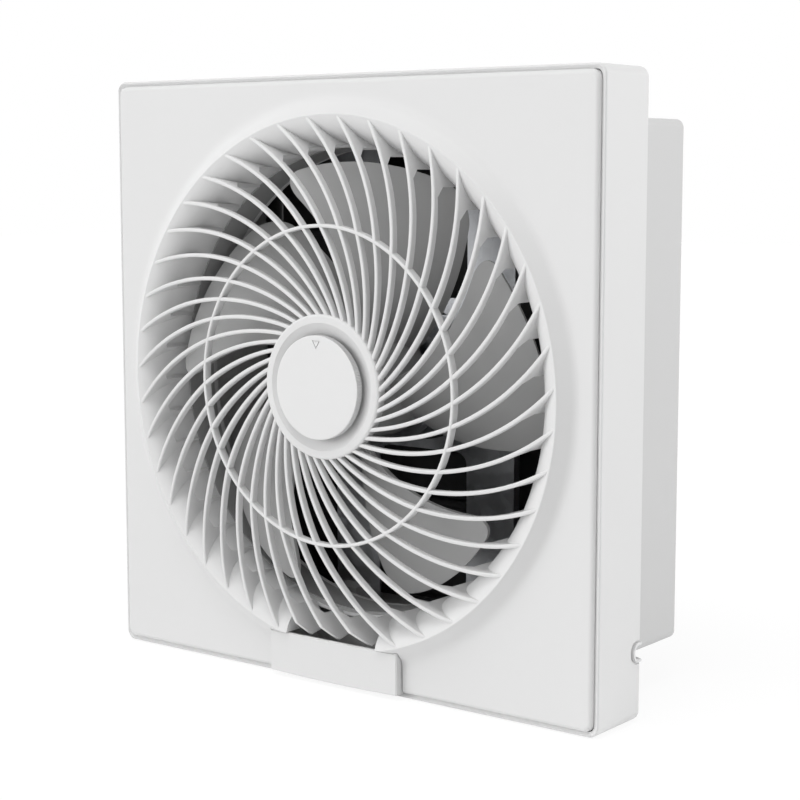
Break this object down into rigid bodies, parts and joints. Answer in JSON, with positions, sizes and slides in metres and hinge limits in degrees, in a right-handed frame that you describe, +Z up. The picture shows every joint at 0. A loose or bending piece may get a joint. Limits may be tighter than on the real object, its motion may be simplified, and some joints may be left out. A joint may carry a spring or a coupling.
{
  "type": "window exhaust fan",
  "caption": "Square window exhaust fan with a spiral rib grille, a twist knob at its centre, a pull-out oil cup and a square rear duct with a gravity shutter.",
  "frame": {"origin": "on the fan's axis, in the rear face of the frame that bears on the window board, which is also the centre of the four fixing screws", "axes": "+X to the right seen from the room, +Y outdoors along the fan axis, +Z up"},
  "size_m": [0.3512, 0.1456, 0.35],
  "materials": {
    "shell_white": "satin white moulded plastic",
    "inner_white": "satin moulded plastic, a shade greyer than the front",
    "flap_grey": "dark grey thin moulded plastic; its colour is taken from the dark gaps behind the blades",
    "knob_white": "smooth satin white moulded plastic",
    "blade_grey": "smooth grey moulded plastic",
    "black_plastic": "matte black moulded plastic",
    "terminal_blue": "dark blue moulded plastic",
    "capacitor_case": "pale grey filled plastic case",
    "black_rubber": "matte black rubber",
    "lead_sheath": "dark grey flexible sheath",
    "zinc_steel": "zinc plated steel",
    "spring_steel": "spring steel strip",
    "bright_steel": "ground steel",
    "galvanised_steel": "galvanised sheet steel",
    "lamination_steel": "stacked electrical steel",
    "brass": "turned brass",
    "bronze": "sintered bronze",
    "copper_wire": "varnished copper wire"
  },
  "bodies": {
    "housing": {"body_frame": "shell_white", "throat_ring": "blade_grey", "throat_screws": "zinc_steel", "rear_duct": "inner_white", "duct_screws": "zinc_steel", "panel_catches": "spring_steel", "front_bearing": "bronze", "rear_bearing": "bronze", "stator_core": "lamination_steel", "stator_windings": "copper_wire", "motor_front_shell": "galvanised_steel", "motor_rear_shell": "galvanised_steel", "motor_bolts": "zinc_steel", "motor_bracket": "galvanised_steel", "bracket_screws": "zinc_steel", "motor_dampers": "black_rubber", "damper_screws": "zinc_steel", "damper_nuts": "zinc_steel", "capacitor": "capacitor_case", "motor_lead": "lead_sheath", "lead_clips": "inner_white", "lead_grommet": "black_rubber", "terminal_box": "inner_white", "terminal_block": "terminal_blue", "terminal_lid": "inner_white", "lid_screw": "zinc_steel", "cord_clamp": "inner_white", "clamp_screws": "zinc_steel", "shutter_frame": "flap_grey", "shutter_screws": "zinc_steel"},
    "fan_rotor": {"impeller": "blade_grey", "impeller_insert": "brass", "spinner_nut": "black_plastic", "drive_pin": "zinc_steel", "motor_shaft": "bright_steel", "rotor": "lamination_steel", "thrust_washers": "brass"},
    "panel": {"front_grille": "shell_white"},
    "knob": {"hub_knob": "knob_white"},
    "cup": {"oil_cup": "shell_white"},
    "flap_1": {"shutter_flap_1": "flap_grey"},
    "flap_2": {"shutter_flap_2": "flap_grey"},
    "flap_3": {"shutter_flap_3": "flap_grey"},
    "flap_4": {"shutter_flap_4": "flap_grey"},
    "flap_5": {"shutter_flap_5": "flap_grey"},
    "link": {"shutter_link": "black_plastic"}
  },
  "joints": [
    {"name": "fan_spin", "type": "hinge", "parent": "housing", "child": "fan_rotor", "pos_m": [0, -0.02, 0], "axis": [0, -1, 0], "continuous": true},
    {"name": "panel_pull", "type": "slide", "parent": "housing", "child": "panel", "axis": [0, -1, 0], "range_m": [0, 0.05]},
    {"name": "knob_twist", "type": "hinge", "parent": "panel", "child": "knob", "pos_m": [0, -0.0566, 0], "axis": [0, -1, 0], "range_deg": [0, 40]},
    {"name": "cup_slide", "type": "slide", "parent": "housing", "child": "cup", "axis": [0, -1, 0], "range_m": [0, 0.045]},
    {"name": "flap_1_swing", "type": "hinge", "parent": "housing", "child": "flap_1", "pos_m": [0, 0.074, 0.138], "axis": [1, 0, 0], "range_deg": [0, 75]},
    {"name": "flap_2_swing", "type": "hinge", "parent": "housing", "child": "flap_2", "pos_m": [0, 0.074, 0.082], "axis": [1, 0, 0], "range_deg": [0, 75]},
    {"name": "flap_3_swing", "type": "hinge", "parent": "housing", "child": "flap_3", "pos_m": [0, 0.074, 0.026], "axis": [1, 0, 0], "range_deg": [0, 75]},
    {"name": "flap_4_swing", "type": "hinge", "parent": "housing", "child": "flap_4", "pos_m": [0, 0.074, -0.03], "axis": [1, 0, 0], "range_deg": [0, 75]},
    {"name": "flap_5_swing", "type": "hinge", "parent": "housing", "child": "flap_5", "pos_m": [0, 0.074, -0.086], "axis": [1, 0, 0], "range_deg": [0, 75]},
    {"name": "link_swing", "type": "hinge", "parent": "flap_1", "child": "link", "pos_m": [0.122, 0.064, 0.1412], "axis": [1, 0, 0], "range_deg": [-75, 0]}
  ],
  "couplings": [
    {"joint": "flap_2_swing", "follows": "flap_1_swing", "ratio": 1},
    {"joint": "flap_3_swing", "follows": "flap_1_swing", "ratio": 1},
    {"joint": "flap_4_swing", "follows": "flap_1_swing", "ratio": 1},
    {"joint": "flap_5_swing", "follows": "flap_1_swing", "ratio": 1},
    {"joint": "link_swing", "follows": "flap_1_swing", "ratio": -1}
  ]
}
